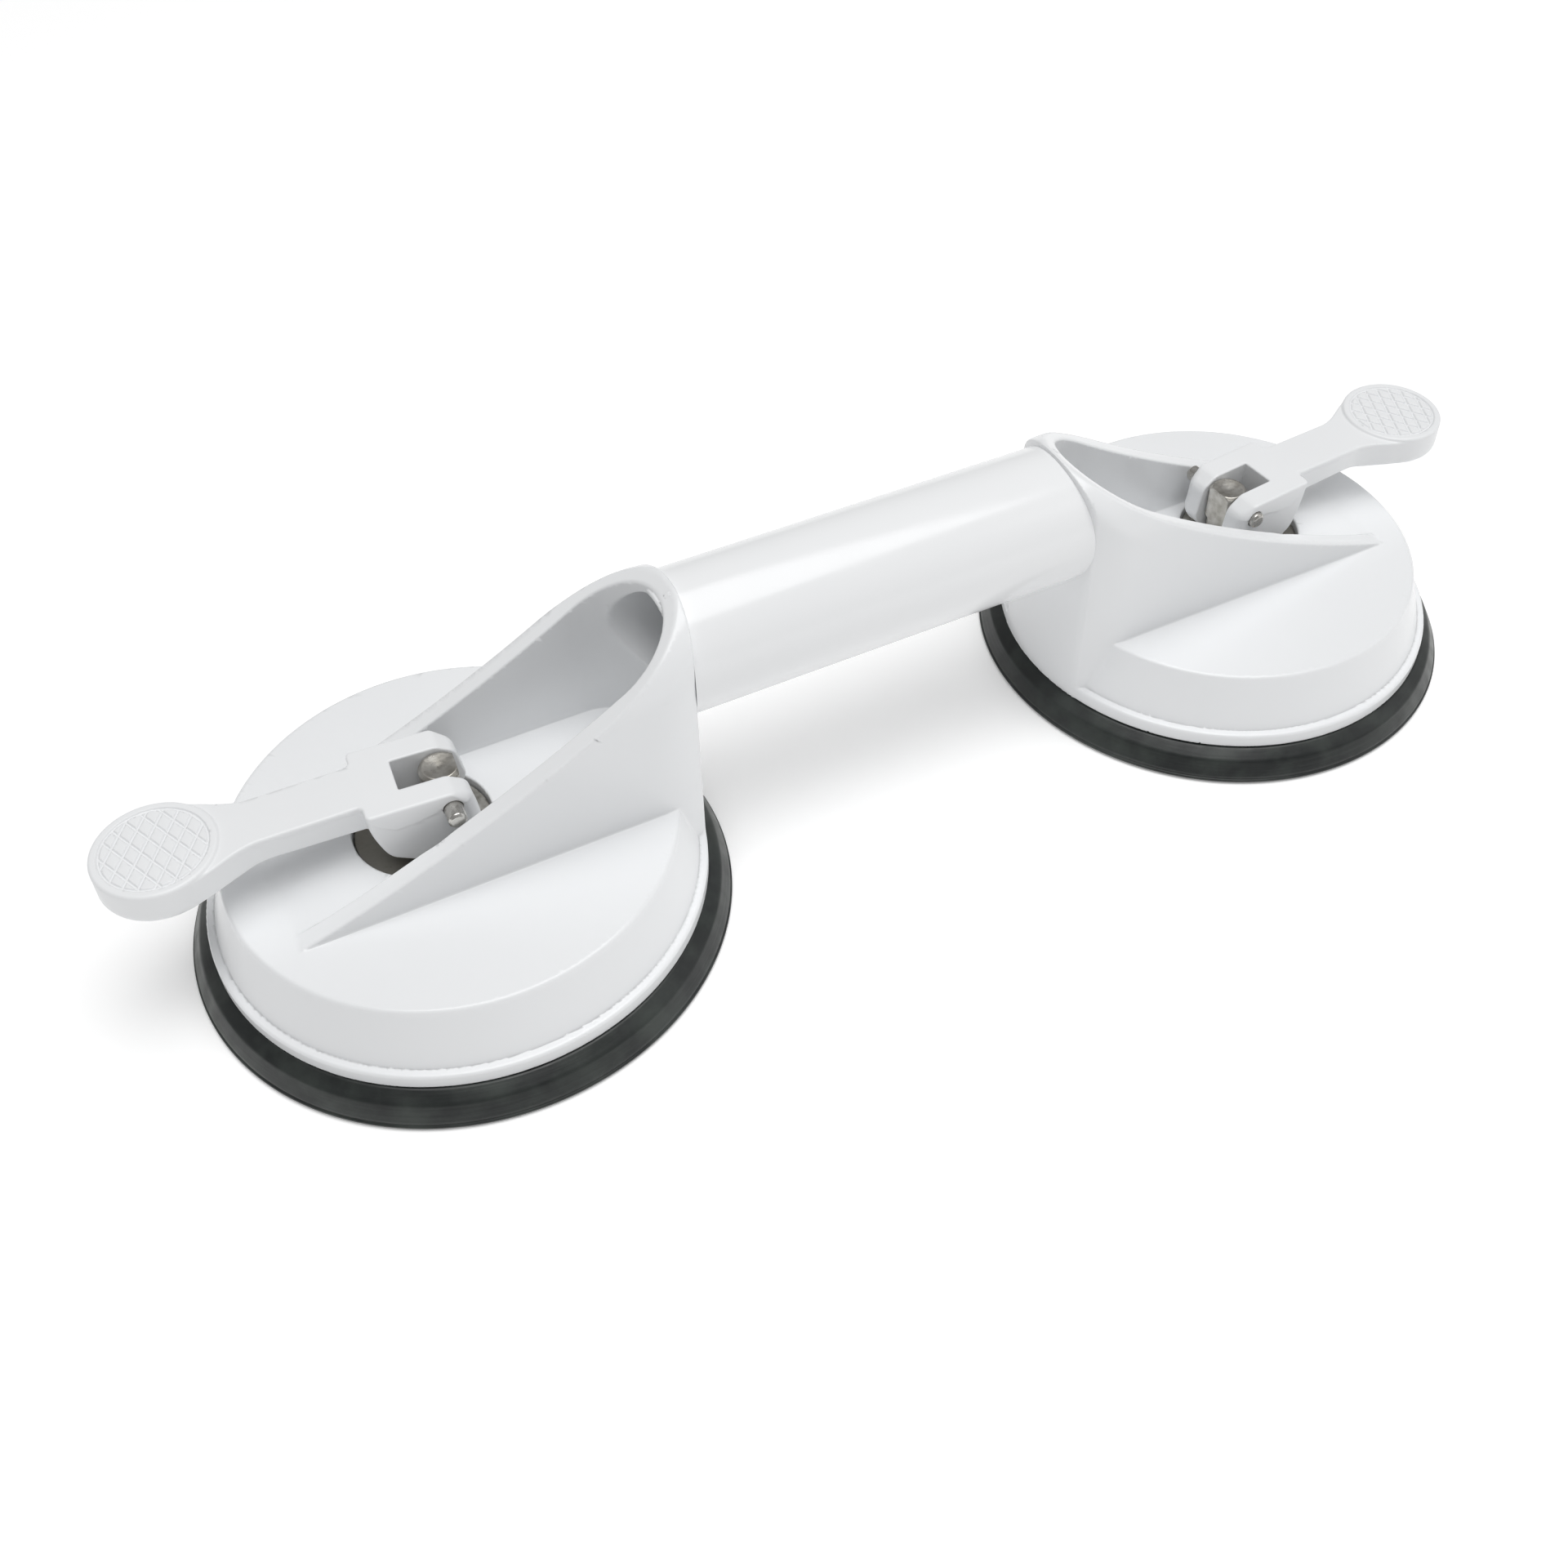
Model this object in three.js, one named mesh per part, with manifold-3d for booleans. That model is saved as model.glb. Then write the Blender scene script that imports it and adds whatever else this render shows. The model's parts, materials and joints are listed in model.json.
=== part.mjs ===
// Suction grab bar: two lever-operated suction heads joined by a round hand grip.
// Millimetres, +Z up. The sealing lips of the cups lie on z = 0, and the origin is on that
// plane, midway between the two cups. The grip runs along X. Both levers are closed, which
// pulls the cups up against their housings.
import * as THREE from 'three';
import { mergeVertices } from 'three/addons/utils/BufferGeometryUtils.js';
import Module from 'manifold-3d';

const wasm = await Module();
wasm.setup();

// ---------------------------------------------------------------- driving dimensions

const GAP = 0.3; // clearance between pieces that touch
const CUP_SPACING = 202; // between the two cup centres
const HEADS = [
  { side: 'left', turn: 0, swivel: -4, pinShift: -1.9 },
  { side: 'right', turn: 180, swivel: 6.4, pinShift: -0.9 },
];

// Hand grip, centred on the height of the hood arches.
const GRIP_HEIGHT = 55;
const GRIP_RADIUS = 16;
const GRIP_BORE = 14.2;

// Rubber cup and the insert plate in its back.
const CUP_RADIUS = 59.1;
const LIP_INNER_RADIUS = 50;
const CUP_HOLLOW = 3.8;
const CUP_SHOULDER = 7.2;
const CUP_BACK = 9.6;
const PLATE_RADIUS = 24;
const PLATE_THICKNESS = 2.5;
const PLATE_BOTTOM = 6.9;
const PLATE_TOP = PLATE_BOTTOM + PLATE_THICKNESS;

// Housing: a round cover with a hood that carries the grip.
const RIM_RADIUS = 54.1;
const RIM_BOTTOM = CUP_SHOULDER + GAP;
const GROOVE_HEIGHT = 11.1;
const GROOVE_DEPTH = 2;
const COVER_TOP_RADIUS = 48.2;
const COVER_TOP = 25;
const COVER_WALL = 3;
const ROOF = COVER_TOP - COVER_WALL;
const HOOD_HALF_WIDTH = 18.9;
const HOOD_HALF_SLOT = 14.5;
const HOOD_ARCH_RISE = 17;
const HOOD_TIP = -36.8;
const HOOD_BACK_CENTRE = 41;
const SLOT_BACK_CENTRE = 36.2;
const SPIGOT_START = 50;
const SPIGOT_LENGTH = 23;
const SPIGOT_BORE = 12.5;

// Deck inside the hood, the round pocket in it, and the hole for the stud.
const DECK = 28.5;
const DECK_EDGE = -21.3;
const POCKET_CENTRE = -5.9;
const POCKET_RADIUS = 14.8;
const POCKET_CHAMFER = 0.5;
const WASHER_THICKNESS = 1.5;
const WASHER_TOP = 26.7;
const POCKET_FLOOR = WASHER_TOP - WASHER_THICKNESS - GAP;
const STUD_RADIUS = 3.9;
const STUD_TOP = 43;
const STUD_HEAD_RADIUS = 4.6;
const STUD_HEAD_BOTTOM = 33.5;
const STUD_FLAT = 3.3;
const STUD_FLAT_BOTTOM = 30;

// Lever and its cross pin. The lever's own frame has its origin on the pin's axis.
const PIN_HEIGHT = 39.9;
const PIN_RADIUS = 2;
const PIN_LENGTH = 24.2;
const PIN_CHAMFER = 0.6;
const EAR_HALF_WIDTH = 10;
const FORK_HALF_SLOT = STUD_RADIUS + GAP;
const FORK_SLOT_END = 9.4;
const LEVER_TOP = 4.2;
const SHOULDER = 17.4;
const ARM_HALF_WIDTH = 6.1;
const ARM_BOTTOM = -3.2;
const ARM_END_TOP = 3;
const PADDLE_CENTRE = 57.3;
const PADDLE_RADIUS = 12.55;
const PADDLE_TOP = 3.6;
const PADDLE_BOTTOM = -5;
const NECK_RADIUS = 9;
const NECK_STEP = 0.8; // from the paddle's underside up to the neck's

// The cam lifts the stud in proportion to the lever's angle over the whole stroke.
const LEVER_OPENING = THREE.MathUtils.degToRad(80);
const STROKE = 6.4;
const CAM_RATE = STROKE / LEVER_OPENING;
const CAM_HEIGHT = PIN_HEIGHT - WASHER_TOP - GAP;

// Spring round the stud, its washer and the stud's lock nut.
const SPRING_RADIUS = 9.5;
const SPRING_WIRE = 0.8;
const SPRING_TURNS = 3.5;
const SPRING_WASHER_THICKNESS = 0.8;
const SPRING_WASHER_RADIUS = 11.6;
const NUT_ACROSS_FLATS = 13;
const NUT_THICKNESS = 4;

const SEGMENTS = { large: 48, medium: 32, small: 20, arc: 12 };

// ---------------------------------------------------------------- materials

const material = (color, roughness, metalness) =>
  new THREE.MeshStandardMaterial({ color, roughness, metalness });

const whitePlastic = () => material(0xe6e8eb, 0.25, 0);
const blackRubber = () => material(0x282f31, 0.6, 0);
const washerSteel = () => material(0x8d897d, 0.45, 0.9);
const brightSteel = () => material(0xc4c2ba, 0.25, 1);

// ---------------------------------------------------------------- solid helpers

// Keeps only positions, joins shared corners and drops triangles of no area.
function welded(source) {
  const geometry = source.clone();
  geometry.deleteAttribute('normal');
  geometry.deleteAttribute('uv');
  const merged = mergeVertices(geometry, 1e-4);
  const index = merged.index.array;
  const kept = [];
  for (let i = 0; i < index.length; i += 3) {
    const [a, b, c] = [index[i], index[i + 1], index[i + 2]];
    if (a !== b && b !== c && c !== a) kept.push(a, b, c);
  }
  merged.setIndex(kept);
  return merged;
}

function signedVolume(geometry) {
  const position = geometry.attributes.position;
  const index = geometry.index.array;
  const corner = [0, 1, 2].map(() => new THREE.Vector3());
  let volume = 0;
  for (let i = 0; i < index.length; i += 3) {
    corner.forEach((point, k) => point.fromBufferAttribute(position, index[i + k]));
    volume += corner[0].dot(corner[1].clone().cross(corner[2])) / 6;
  }
  return volume;
}

function solid(source) {
  const geometry = welded(source);
  const triVerts = Uint32Array.from(geometry.index.array);
  if (signedVolume(geometry) < 0) {
    for (let i = 0; i < triVerts.length; i += 3) {
      [triVerts[i], triVerts[i + 1]] = [triVerts[i + 1], triVerts[i]];
    }
  }
  const vertProperties = Float32Array.from(geometry.attributes.position.array);
  return new wasm.Manifold(new wasm.Mesh({ numProp: 3, vertProperties, triVerts }));
}

function geometryOf(body) {
  const mesh = body.getMesh();
  const geometry = new THREE.BufferGeometry();
  geometry.setAttribute('position', new THREE.BufferAttribute(mesh.vertProperties, 3));
  geometry.setIndex(Array.from(mesh.triVerts));
  geometry.computeVertexNormals();
  return geometry;
}

const union = (...bodies) => bodies.reduce((sum, body) => sum.add(body));
const cutFrom = (body, ...tools) => tools.reduce((rest, tool) => rest.subtract(tool), body);
const common = (...bodies) => bodies.reduce((rest, body) => rest.intersect(body));

// A closed (radius, height) outline turned about the Z axis.
function turned(outline, segments = SEGMENTS.large) {
  const points = outline.map(([radius, height]) => new THREE.Vector2(radius, height));
  return solid(new THREE.LatheGeometry(points, segments).rotateX(Math.PI / 2));
}

// A (x, y) shape standing from z = bottom to z = top.
function raised(shape, bottom, top) {
  const options = { depth: top - bottom, bevelEnabled: false, curveSegments: SEGMENTS.arc };
  return solid(new THREE.ExtrudeGeometry(shape, options).translate(0, 0, bottom));
}

// A (x, z) shape reaching from y = -halfWidth to y = halfWidth.
function sideways(shape, halfWidth) {
  const options = { depth: 2 * halfWidth, bevelEnabled: false, curveSegments: SEGMENTS.arc };
  const geometry = new THREE.ExtrudeGeometry(shape, options);
  return solid(geometry.rotateX(Math.PI / 2).translate(0, halfWidth, 0));
}

// A (y, z) shape reaching from x = start to x = end.
function lengthways(shape, start, end) {
  const options = { depth: end - start, bevelEnabled: false, curveSegments: SEGMENTS.arc };
  const basis = new THREE.Matrix4().makeBasis(
    new THREE.Vector3(0, 1, 0),
    new THREE.Vector3(0, 0, 1),
    new THREE.Vector3(1, 0, 0),
  );
  const geometry = new THREE.ExtrudeGeometry(shape, options).applyMatrix4(basis);
  return solid(geometry.translate(start, 0, 0));
}

function uprightRod(radius, bottom, top, x = 0, segments = SEGMENTS.small) {
  const geometry = new THREE.CylinderGeometry(radius, radius, top - bottom, segments);
  return solid(geometry.rotateX(Math.PI / 2).translate(x, 0, (top + bottom) / 2));
}

function gripRod(radius, start, end) {
  const geometry = new THREE.CylinderGeometry(radius, radius, end - start, SEGMENTS.medium);
  return solid(geometry.rotateZ(Math.PI / 2).translate((start + end) / 2, 0, GRIP_HEIGHT));
}

function crossRod(radius, halfLength, x, z) {
  const geometry = new THREE.CylinderGeometry(radius, radius, 2 * halfLength, SEGMENTS.small);
  return solid(geometry.translate(x, 0, z));
}

const shapeOf = (points) => new THREE.Shape(points.map(([x, y]) => new THREE.Vector2(x, y)));

// ---------------------------------------------------------------- housing

// Height of the hood's open edge, from its tip on the cover up to the crown over the grip.
function hoodEdge(x) {
  const run = x - HOOD_TIP;
  const length = RIM_RADIUS - HOOD_TIP;
  return COVER_TOP + 0.324 * run + 0.002 * run ** 2 + (run / length) ** 8;
}

function hoodSide() {
  const steps = 14;
  const end = RIM_RADIUS + 1;
  const points = [[end, RIM_BOTTOM], [HOOD_TIP, RIM_BOTTOM]];
  for (let i = 0; i <= steps; i += 1) {
    const x = THREE.MathUtils.lerp(HOOD_TIP, end, i / steps);
    points.push([x, hoodEdge(x)]);
  }
  return shapeOf(points.reverse());
}

function hoodArch() {
  const shape = new THREE.Shape();
  shape.moveTo(-HOOD_HALF_WIDTH, 0);
  shape.lineTo(HOOD_HALF_WIDTH, 0);
  shape.lineTo(HOOD_HALF_WIDTH, GRIP_HEIGHT);
  shape.absellipse(0, GRIP_HEIGHT, HOOD_HALF_WIDTH, HOOD_ARCH_RISE, 0, Math.PI, false);
  return shape;
}

// A strip along X that ends in a half circle on the grip's side.
function roundEndedStrip(start, centre, halfWidth) {
  const shape = new THREE.Shape();
  shape.moveTo(start, -halfWidth);
  shape.lineTo(centre, -halfWidth);
  shape.absarc(centre, 0, halfWidth, -Math.PI / 2, Math.PI / 2, false);
  shape.lineTo(start, halfWidth);
  return shape;
}

function hoodOuter() {
  const far = 100;
  return common(
    sideways(hoodSide(), HOOD_HALF_WIDTH + 1),
    lengthways(hoodArch(), -far, far),
    raised(roundEndedStrip(-far, HOOD_BACK_CENTRE, HOOD_HALF_WIDTH), 0, far),
    uprightRod(RIM_RADIUS, 0, far, 0, SEGMENTS.large),
  );
}

function coverOuter() {
  const grooveRadius = RIM_RADIUS - GROOVE_DEPTH;
  return turned([
    [0, RIM_BOTTOM],
    [RIM_RADIUS, RIM_BOTTOM],
    [RIM_RADIUS, GROOVE_HEIGHT - 0.5],
    [grooveRadius, GROOVE_HEIGHT],
    [COVER_TOP_RADIUS + 0.5, COVER_TOP - 1],
    [COVER_TOP_RADIUS - 0.5, COVER_TOP],
    [0, COVER_TOP],
  ]);
}

function coverHollow() {
  return turned([
    [0, 0],
    [RIM_RADIUS - 3.3, 0],
    [RIM_RADIUS - 3.3, RIM_BOTTOM],
    [COVER_TOP_RADIUS - 2, ROOF - 2],
    [COVER_TOP_RADIUS - 4, ROOF],
    [0, ROOF],
  ]);
}

// Space between the hood's walls, above the deck and the ramp in front of it.
function hoodSlot() {
  const far = 100;
  const above = shapeOf([
    [HOOD_TIP - 1, COVER_TOP],
    [DECK_EDGE, DECK],
    [far, DECK],
    [far, far],
    [HOOD_TIP - 1, far],
  ]);
  const plan = roundEndedStrip(-far, SLOT_BACK_CENTRE, HOOD_HALF_SLOT);
  return common(sideways(above, HOOD_HALF_SLOT + 1), raised(plan, 0, far));
}

function washerPocket() {
  const rim = DECK + POCKET_CHAMFER;
  const shape = turned([
    [0, POCKET_FLOOR],
    [POCKET_RADIUS, POCKET_FLOOR],
    [POCKET_RADIUS, DECK - POCKET_CHAMFER],
    [POCKET_RADIUS + 2 * POCKET_CHAMFER, rim],
    [0, rim],
  ]);
  return shape.translate([POCKET_CENTRE, 0, 0]);
}

// Ring under the roof that keeps the spring centred, with ribs out to the side wall.
function roofRibs() {
  const ringInner = SPRING_WASHER_RADIUS + 0.6;
  const ringOuter = ringInner + 1.8;
  const depth = 2.6;
  const bottom = ROOF - depth;
  const ring = turned([
    [ringInner, bottom],
    [ringOuter, bottom],
    [ringOuter, ROOF + 1],
    [ringInner, ROOF + 1],
    [ringInner, bottom],
  ], SEGMENTS.medium);
  const ribs = [0, 1, 2, 3].map((k) => {
    const bar = new THREE.BoxGeometry(2 * (COVER_TOP_RADIUS - 1), 1.6, depth + 1);
    bar.translate(0, 0, bottom + (depth + 1) / 2).rotateZ((k + 0.5) * Math.PI / 4);
    return cutFrom(solid(bar), uprightRod(ringInner + 0.5, 0, COVER_TOP));
  });
  return union(ring, ...ribs);
}

function housing() {
  const outer = union(coverOuter(), hoodOuter());
  const shell = union(cutFrom(outer, coverHollow()), roofRibs());
  const open = cutFrom(
    shell,
    hoodSlot(),
    washerPocket(),
    uprightRod(STUD_RADIUS + 1, ROOF - 1, DECK),
  );
  const spigotEnd = SPIGOT_START + SPIGOT_LENGTH;
  const spigot = gripRod(GRIP_BORE - GAP, SPIGOT_START, spigotEnd);
  return cutFrom(union(open, spigot), gripRod(SPIGOT_BORE, SLOT_BACK_CENTRE, spigotEnd + 1));
}

// ---------------------------------------------------------------- cup and stud

function rubberCup() {
  const seat = PLATE_BOTTOM - GAP;
  return turned([
    [0, CUP_HOLLOW],
    [30, CUP_HOLLOW],
    [44, CUP_HOLLOW * 0.5],
    [LIP_INNER_RADIUS, 0],
    [CUP_RADIUS, 0],
    [CUP_RADIUS, 1.2],
    [56.3, 6.2],
    [54.4, CUP_SHOULDER],
    [46, CUP_SHOULDER],
    [36, CUP_BACK - 0.6],
    [28, CUP_BACK],
    [PLATE_RADIUS + GAP, CUP_BACK],
    [PLATE_RADIUS + GAP, seat],
    [0, seat],
  ]);
}

function drilledDisc(radius, hole, bottom, top) {
  return turned([
    [hole, bottom],
    [radius, bottom],
    [radius, top],
    [hole, top],
    [hole, bottom],
  ], SEGMENTS.medium);
}

// The head is wider than the shank, with a flat on each side where it passes through the fork.
function stud() {
  const chamfer = 0.7;
  const rod = turned([
    [0, PLATE_BOTTOM],
    [STUD_RADIUS, PLATE_BOTTOM],
    [STUD_RADIUS, STUD_HEAD_BOTTOM],
    [STUD_HEAD_RADIUS, STUD_HEAD_BOTTOM + chamfer],
    [STUD_HEAD_RADIUS, STUD_TOP - chamfer],
    [STUD_HEAD_RADIUS - chamfer, STUD_TOP],
    [0, STUD_TOP],
  ], SEGMENTS.small);
  const sides = [-1, 1].map((way) => {
    const side = new THREE.BoxGeometry(20, 4, 20);
    return solid(side.translate(0, way * (STUD_RADIUS + 2), STUD_TOP));
  });
  const flat = new THREE.BoxGeometry(4, 20, STUD_TOP - STUD_FLAT_BOTTOM + 2);
  flat.translate(STUD_FLAT + 2, 0, (STUD_TOP + STUD_FLAT_BOTTOM + 2) / 2);
  const pinHole = crossRod(PIN_RADIUS + GAP, 20, 0, PIN_HEIGHT);
  return cutFrom(rod, solid(flat), pinHole, ...sides);
}

function lockNut() {
  const corner = NUT_ACROSS_FLATS / Math.sqrt(3);
  const bottom = PLATE_TOP + GAP;
  const hexagon = uprightRod(corner, bottom, bottom + NUT_THICKNESS, 0, 6);
  return cutFrom(hexagon, uprightRod(STUD_RADIUS + GAP, 0, bottom + NUT_THICKNESS + 1));
}

function crossPin(shift) {
  const end = PIN_LENGTH / 2;
  const points = [
    [0, -end],
    [PIN_RADIUS - PIN_CHAMFER, -end],
    [PIN_RADIUS, PIN_CHAMFER - end],
    [PIN_RADIUS, end - PIN_CHAMFER],
    [PIN_RADIUS - PIN_CHAMFER, end],
    [0, end],
  ].map(([radius, y]) => new THREE.Vector2(radius, y));
  const geometry = new THREE.LatheGeometry(points, SEGMENTS.small);
  return solid(geometry.translate(0, shift, PIN_HEIGHT));
}

// ---------------------------------------------------------------- washers and spring

function wearWasher() {
  const disc = uprightRod(
    POCKET_RADIUS - GAP,
    WASHER_TOP - WASHER_THICKNESS,
    WASHER_TOP,
    POCKET_CENTRE,
    SEGMENTS.medium,
  );
  return cutFrom(disc, uprightRod(STUD_RADIUS + 0.6, ROOF, DECK));
}

function springWasher() {
  const top = ROOF - GAP;
  const bottom = top - SPRING_WASHER_THICKNESS;
  return drilledDisc(SPRING_WASHER_RADIUS, STUD_RADIUS + 0.8, bottom, top);
}

class Helix extends THREE.Curve {
  constructor(radius, bottom, top, turns) {
    super();
    Object.assign(this, { radius, bottom, top, turns });
  }

  getPoint(t, target = new THREE.Vector3()) {
    const angle = t * this.turns * 2 * Math.PI;
    const height = THREE.MathUtils.lerp(this.bottom, this.top, t);
    return target.set(this.radius * Math.cos(angle), this.radius * Math.sin(angle), height);
  }
}

function spring() {
  const bottom = PLATE_TOP + GAP + SPRING_WIRE;
  const top = ROOF - SPRING_WASHER_THICKNESS - 2 * GAP - SPRING_WIRE;
  const wire = new THREE.Shape().absarc(0, 0, SPRING_WIRE, 0, 2 * Math.PI, false);
  const options = {
    steps: SPRING_TURNS * 12,
    curveSegments: 3,
    extrudePath: new Helix(SPRING_RADIUS, bottom, top, SPRING_TURNS),
  };
  return solid(new THREE.ExtrudeGeometry(wire, options));
}

// ---------------------------------------------------------------- lever

// In the lever's frame, u points away from the grip and w points up.
const outward = (points) => shapeOf(points.map(([u, w]) => [-u, w]));

// Point of the cam that faces the washer when the lever is raised by the given angle.
function camPoint(angle) {
  const height = CAM_HEIGHT - CAM_RATE * angle;
  const u = CAM_RATE * Math.cos(angle) - height * Math.sin(angle);
  const w = -CAM_RATE * Math.sin(angle) - height * Math.cos(angle);
  return [u, w];
}

function forkOutline() {
  const steps = 14;
  const cam = [];
  for (let i = steps; i >= 0; i -= 1) cam.push(camPoint(LEVER_OPENING * i / steps));
  return outward([
    [SHOULDER, LEVER_TOP],
    [-0.4, LEVER_TOP],
    [-4.4, 1.6],
    [-4.9, -2],
    ...cam,
    [8, -CAM_HEIGHT],
    [11.4, -10.9],
    [13.6, -9.6],
    [14.9, -7.9],
    [15.9, -5.2],
    [16.7, -2.6],
    [SHOULDER, 1.5],
  ]);
}

function armOutline() {
  const neck = PADDLE_CENTRE - PADDLE_RADIUS;
  return outward([
    [SHOULDER - 4, ARM_BOTTOM],
    [SHOULDER - 4, LEVER_TOP],
    [SHOULDER, LEVER_TOP],
    [neck, ARM_END_TOP],
    [PADDLE_CENTRE, ARM_END_TOP],
    [PADDLE_CENTRE, PADDLE_BOTTOM + NECK_STEP],
    [neck - 2, PADDLE_BOTTOM + NECK_STEP],
    [neck - 8, ARM_BOTTOM],
  ]);
}

// Fillets in plan between the arm and the round paddle.
function neckPlan() {
  const reach = PADDLE_RADIUS + NECK_RADIUS;
  const drop = ARM_HALF_WIDTH + NECK_RADIUS;
  const back = Math.sqrt(reach ** 2 - drop ** 2);
  const centreU = PADDLE_CENTRE - back;
  const lean = Math.atan2(back, drop);
  const steps = 8;
  const near = [];
  for (let i = 0; i <= steps; i += 1) {
    const angle = lean * i / steps;
    near.push([
      centreU + NECK_RADIUS * Math.sin(angle),
      drop - NECK_RADIUS * Math.cos(angle),
    ]);
  }
  const far = near.map(([u, v]) => [u, -v]).reverse();
  return outward([...near, [PADDLE_CENTRE, 0], ...far]);
}

function paddle() {
  const roundTop = 0.5;
  const roundBottom = 2.4;
  const disc = turned([
    [0, PADDLE_BOTTOM],
    [PADDLE_RADIUS - roundBottom, PADDLE_BOTTOM],
    [PADDLE_RADIUS - roundBottom * 0.3, PADDLE_BOTTOM + roundBottom * 0.4],
    [PADDLE_RADIUS, PADDLE_BOTTOM + roundBottom],
    [PADDLE_RADIUS, PADDLE_TOP - roundTop],
    [PADDLE_RADIUS - roundTop, PADDLE_TOP],
    [0, PADDLE_TOP],
  ], SEGMENTS.medium);
  return disc.translate([-PADDLE_CENTRE, 0, 0]);
}

function lever() {
  const slotLength = 2 * FORK_SLOT_END;
  const slot = new THREE.BoxGeometry(slotLength, 2 * FORK_HALF_SLOT, 60);
  const fork = cutFrom(
    sideways(forkOutline(), EAR_HALF_WIDTH),
    solid(slot),
    crossRod(PIN_RADIUS + GAP, 20, 0, 0),
  );
  const arm = sideways(armOutline(), ARM_HALF_WIDTH);
  const neck = raised(neckPlan(), PADDLE_BOTTOM + NECK_STEP, ARM_END_TOP);
  return union(fork, arm, neck, paddle()).translate([0, 0, PIN_HEIGHT]);
}

// ---------------------------------------------------------------- hand grip

// A tube whose ends are hollowed to fit the round backs of the housings.
function grabTube() {
  const end = CUP_SPACING / 2 - SPIGOT_START;
  const above = 2 * GRIP_HEIGHT;
  const backs = [-1, 1].map((way) => {
    const x = way * CUP_SPACING / 2;
    return uprightRod(RIM_RADIUS + GAP, 0, above, x, SEGMENTS.large);
  });
  const bore = gripRod(GRIP_BORE, -end - 1, end + 1);
  return cutFrom(gripRod(GRIP_RADIUS, -end, end), bore, ...backs);
}

// ---------------------------------------------------------------- assembly

function piece(name, body, finish) {
  const mesh = new THREE.Mesh(geometryOf(body), finish);
  mesh.name = name;
  return mesh;
}

// One suction head, built with its cup centre on the Z axis and the grip towards +X. The
// pieces on the stud turn with it inside the housing.
function suctionHead({ side, turn, swivel, pinShift }) {
  const head = new THREE.Group();
  head.rotation.z = THREE.MathUtils.degToRad(turn);
  head.position.x = (turn === 0 ? -1 : 1) * CUP_SPACING / 2;
  head.add(piece(`${side}_housing`, housing(), whitePlastic()));
  head.add(piece(`${side}_wear_washer`, wearWasher(), washerSteel()));

  const turning = new THREE.Group();
  turning.rotation.z = THREE.MathUtils.degToRad(swivel);
  const nutHole = STUD_RADIUS + GAP;
  const plate = drilledDisc(PLATE_RADIUS, nutHole, PLATE_BOTTOM, PLATE_TOP);
  turning.add(piece(`${side}_spring_washer`, springWasher(), brightSteel()));
  turning.add(piece(`${side}_spring`, spring(), brightSteel()));
  turning.add(piece(`${side}_suction_cup`, rubberCup(), blackRubber()));
  turning.add(piece(`${side}_insert_plate`, plate, washerSteel()));
  turning.add(piece(`${side}_stud`, stud(), brightSteel()));
  turning.add(piece(`${side}_lock_nut`, lockNut(), brightSteel()));
  turning.add(piece(`${side}_cross_pin`, crossPin(pinShift), brightSteel()));
  turning.add(piece(`${side}_lever`, lever(), whitePlastic()));
  head.add(turning);
  return head;
}

const grabBar = new THREE.Group();
grabBar.name = 'suction_grab_bar';
HEADS.forEach((head) => grabBar.add(suctionHead(head)));
grabBar.add(piece('grab_tube', grabTube(), whitePlastic()));

export default grabBar;
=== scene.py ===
"""Suction grab bar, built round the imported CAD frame. Shapes are worked out in millimetres."""
import json
import math

import bpy
import numpy as np
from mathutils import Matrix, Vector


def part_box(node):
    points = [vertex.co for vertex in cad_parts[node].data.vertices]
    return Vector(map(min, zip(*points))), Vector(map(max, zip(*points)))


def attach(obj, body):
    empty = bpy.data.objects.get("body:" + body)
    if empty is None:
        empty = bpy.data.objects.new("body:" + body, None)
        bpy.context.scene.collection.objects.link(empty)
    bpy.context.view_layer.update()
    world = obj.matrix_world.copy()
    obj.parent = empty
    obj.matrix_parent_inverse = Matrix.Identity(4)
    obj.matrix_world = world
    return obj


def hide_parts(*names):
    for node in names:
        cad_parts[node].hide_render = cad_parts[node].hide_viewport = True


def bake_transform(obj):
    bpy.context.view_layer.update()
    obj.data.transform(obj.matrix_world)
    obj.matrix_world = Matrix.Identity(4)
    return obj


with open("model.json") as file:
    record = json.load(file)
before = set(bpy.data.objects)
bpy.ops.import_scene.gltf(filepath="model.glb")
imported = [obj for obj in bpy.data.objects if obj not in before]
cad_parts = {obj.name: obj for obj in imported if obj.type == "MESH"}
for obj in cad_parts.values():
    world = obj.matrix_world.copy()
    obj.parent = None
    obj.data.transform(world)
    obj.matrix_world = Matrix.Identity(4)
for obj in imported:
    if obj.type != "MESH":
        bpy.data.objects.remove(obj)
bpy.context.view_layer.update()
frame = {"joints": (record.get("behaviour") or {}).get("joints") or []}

import openvdb
from mathutils import Matrix, Vector

MM = 0.001
QUICK = 1.0  # coarser sampling while trying things

# ---------------------------------------------------------------- driving dimensions, mm

GRIP_HEIGHT = 55
GRIP_RADIUS = 16
GRIP_BORE = 14.2
GRIP_HALF_LENGTH = 50  # before its ends are hollowed
RIM_RADIUS = 54.1
RIM_BOTTOM = 7.5
FLANGE_TOP = 11.1
FLANGE_CROWN_RADIUS = 53
COVER_SIDE = ((52.3, 11), (48.7, 24))  # radius and height at two places
COVER_TOP = 25
ROOF = 22
HOLLOW_RADIUS = 50.8
HOLLOW_SIDE = ((HOLLOW_RADIUS, RIM_BOTTOM), (46.2, 20))
RIB_RING_RADIUS = 13.1
RIB_END = 47
RIB_BOTTOM = 19.4
RIB_HALF_WIDTH = 0.8
HOOD_HALF_WIDTH = 18.9
HOOD_TIP = -36.8
HOOD_BACK_CENTRE = 41
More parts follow.
